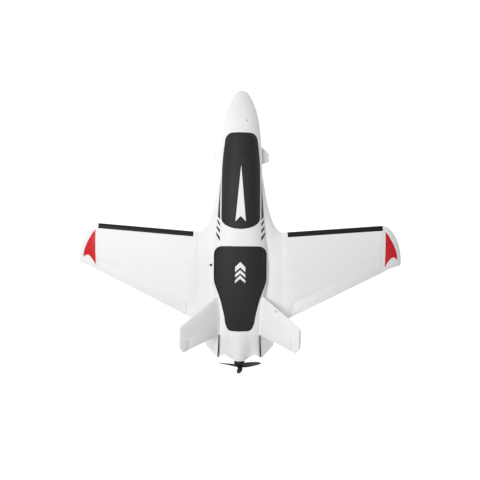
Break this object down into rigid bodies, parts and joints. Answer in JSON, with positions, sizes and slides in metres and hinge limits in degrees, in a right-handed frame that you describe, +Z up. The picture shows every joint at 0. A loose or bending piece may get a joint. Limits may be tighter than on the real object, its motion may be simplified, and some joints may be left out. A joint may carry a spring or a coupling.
{
  "type": "rc foam airplane",
  "caption": "Moulded white foam V-tail pusher model aeroplane with blended fuselage, lift-off hatches, hinged control surfaces, servo linkages and a spinning propeller.",
  "frame": {"origin": "on the ground plane under the middle of the overall length, on the symmetry plane", "axes": "+Z up, nose along -Y, propeller at +Y, +X the pilot's left wing"},
  "size_m": [0.845, 0.738, 0.1629],
  "materials": {
    "white_foam": "moulded expanded foam, satin bead grain",
    "hatch_skin": "satin printed film over foam",
    "magnet": "bright nickel plate",
    "hinge_plastic": "nylon",
    "steel_wire": "bright drawn wire",
    "servo_case": "moulded",
    "carbon_tube": "woven carbon, gloss resin",
    "black_plastic": "moulded",
    "plywood": "bare birch ply",
    "stator_metal": "machined",
    "black_metal": "anodised",
    "prop_plastic": "moulded, gloss",
    "battery_wrap": "heat-shrink film",
    "strap_fabric": "hook and loop webbing",
    "receiver_case": "moulded",
    "esc_wrap": "heat-shrink film",
    "wire_insulation": "silicone",
    "lead_insulation": "silicone",
    "edge_tape": "satin",
    "white_nylon": "nylon",
    "horn_plastic": "nylon"
  },
  "bodies": {
    "airframe": {"fuselage_lower_shell": "white_foam", "fuselage_upper_shell": "white_foam", "fuselage_magnets": "magnet", "fixed_hinge_leaves": "hinge_plastic", "hinge_pins": "steel_wire", "aileron_servos": "servo_case", "ruddervator_servos": "servo_case", "main_spar": "carbon_tube", "rear_spar": "carbon_tube", "ventral_fin_mounts": "black_plastic", "firewall": "plywood", "motor_screws": "steel_wire", "motor_stator": "stator_metal", "battery": "battery_wrap", "battery_tray": "plywood", "battery_strap": "strap_fabric", "equipment_tray": "plywood", "receiver": "receiver_case", "speed_controller": "esc_wrap", "motor_wires": "wire_insulation", "power_lead": "lead_insulation", "wing_left": "white_foam", "leading_edge_strip_left": "edge_tape", "wingtip_left": "white_foam", "tail_fin_left": "white_foam", "canard_left": "white_foam", "ventral_fin_left": "white_foam", "wing_right": "white_foam", "leading_edge_strip_right": "edge_tape", "wingtip_right": "white_foam", "tail_fin_right": "white_foam", "canard_right": "white_foam", "ventral_fin_right": "white_foam"},
    "rotor": {"motor_bell": "black_metal", "propeller": "prop_plastic", "prop_nut": "black_metal"},
    "front_lid": {"front_hatch": "hatch_skin", "front_hatch_magnets": "magnet"},
    "rear_lid": {"rear_hatch": "hatch_skin", "rear_hatch_magnets": "magnet"},
    "aileron_left_surface": {"aileron_left": "white_foam", "aileron_hinge_leaves_left": "hinge_plastic", "aileron_horn_left": "horn_plastic"},
    "aileron_left_arm": {"aileron_servo_arm_left": "white_nylon"},
    "aileron_left_rod": {"aileron_pushrod_left": "steel_wire"},
    "aileron_right_surface": {"aileron_right": "white_foam", "aileron_hinge_leaves_right": "hinge_plastic", "aileron_horn_right": "horn_plastic"},
    "aileron_right_arm": {"aileron_servo_arm_right": "white_nylon"},
    "aileron_right_rod": {"aileron_pushrod_right": "steel_wire"},
    "ruddervator_left_surface": {"ruddervator_left": "white_foam", "ruddervator_hinge_leaves_left": "hinge_plastic", "ruddervator_horn_left": "horn_plastic"},
    "ruddervator_left_arm": {"ruddervator_servo_arm_left": "white_nylon"},
    "ruddervator_left_rod": {"ruddervator_pushrod_left": "steel_wire"},
    "ruddervator_right_surface": {"ruddervator_right": "white_foam", "ruddervator_hinge_leaves_right": "hinge_plastic", "ruddervator_horn_right": "horn_plastic"},
    "ruddervator_right_arm": {"ruddervator_servo_arm_right": "white_nylon"},
    "ruddervator_right_rod": {"ruddervator_pushrod_right": "steel_wire"}
  },
  "joints": [
    {"name": "propeller_spin", "type": "hinge", "parent": "airframe", "child": "rotor", "pos_m": [0, 0.345, 0.068], "axis": [0, 1, 0], "continuous": true},
    {"name": "front_hatch_lift", "type": "slide", "parent": "airframe", "child": "front_lid", "axis": [0, 0, 1], "range_m": [0, 0.12]},
    {"name": "rear_hatch_lift", "type": "slide", "parent": "airframe", "child": "rear_lid", "axis": [0, 0, 1], "range_m": [0, 0.12]},
    {"name": "aileron_left_hinge", "type": "hinge", "parent": "airframe", "child": "aileron_left_surface", "pos_m": [0.22342, 0.1537, 0.06181], "axis": [0.9097, -0.4152, 0], "range_deg": [-25, 25]},
    {"name": "aileron_left_servo", "type": "hinge", "parent": "airframe", "child": "aileron_left_arm", "pos_m": [0.19933, 0.10093, 0.06181], "axis": [0.9097, -0.4152, 0], "range_deg": [-25, 25]},
    {"name": "aileron_left_rod_pivot", "type": "hinge", "parent": "aileron_left_arm", "child": "aileron_left_rod", "pos_m": [0.19933, 0.10093, 0.04681], "axis": [0.9097, -0.4152, 0], "range_deg": [-25, 25]},
    {"name": "aileron_right_hinge", "type": "hinge", "parent": "airframe", "child": "aileron_right_surface", "pos_m": [-0.22342, 0.1537, 0.06181], "axis": [0.9097, 0.4152, 0], "range_deg": [-25, 25]},
    {"name": "aileron_right_servo", "type": "hinge", "parent": "airframe", "child": "aileron_right_arm", "pos_m": [-0.19933, 0.10093, 0.06181], "axis": [0.9097, 0.4152, 0], "range_deg": [-25, 25]},
    {"name": "aileron_right_rod_pivot", "type": "hinge", "parent": "aileron_right_arm", "child": "aileron_right_rod", "pos_m": [-0.19933, 0.10093, 0.04681], "axis": [0.9097, 0.4152, 0], "range_deg": [-25, 25]},
    {"name": "ruddervator_left_hinge", "type": "hinge", "parent": "airframe", "child": "ruddervator_left_surface", "pos_m": [0.08267, 0.25778, 0.10674], "axis": [0.7444, 0.2359, 0.6247], "range_deg": [-25, 25]},
    {"name": "ruddervator_left_servo", "type": "hinge", "parent": "airframe", "child": "ruddervator_left_arm", "pos_m": [0.09062, 0.21502, 0.11341], "axis": [0.7444, 0.2359, 0.6247], "range_deg": [-25, 25]},
    {"name": "ruddervator_left_rod_pivot", "type": "hinge", "parent": "ruddervator_left_arm", "child": "ruddervator_left_rod", "pos_m": [0.09769, 0.21502, 0.10498], "axis": [0.7444, 0.2359, 0.6247], "range_deg": [-25, 25]},
    {"name": "ruddervator_right_hinge", "type": "hinge", "parent": "airframe", "child": "ruddervator_right_surface", "pos_m": [-0.08267, 0.25778, 0.10674], "axis": [0.7444, -0.2359, -0.6247], "range_deg": [-25, 25]},
    {"name": "ruddervator_right_servo", "type": "hinge", "parent": "airframe", "child": "ruddervator_right_arm", "pos_m": [-0.09062, 0.21502, 0.11341], "axis": [0.7444, -0.2359, -0.6247], "range_deg": [-25, 25]},
    {"name": "ruddervator_right_rod_pivot", "type": "hinge", "parent": "ruddervator_right_arm", "child": "ruddervator_right_rod", "pos_m": [-0.09769, 0.21502, 0.10498], "axis": [0.7444, -0.2359, -0.6247], "range_deg": [-25, 25]}
  ],
  "couplings": [
    {"joint": "aileron_left_servo", "follows": "aileron_left_hinge", "ratio": 1},
    {"joint": "aileron_left_rod_pivot", "follows": "aileron_left_hinge", "ratio": -1},
    {"joint": "aileron_right_servo", "follows": "aileron_right_hinge", "ratio": 1},
    {"joint": "aileron_right_rod_pivot", "follows": "aileron_right_hinge", "ratio": -1},
    {"joint": "ruddervator_left_servo", "follows": "ruddervator_left_hinge", "ratio": 1},
    {"joint": "ruddervator_left_rod_pivot", "follows": "ruddervator_left_hinge", "ratio": -1},
    {"joint": "ruddervator_right_servo", "follows": "ruddervator_right_hinge", "ratio": 1},
    {"joint": "ruddervator_right_rod_pivot", "follows": "ruddervator_right_hinge", "ratio": -1}
  ]
}
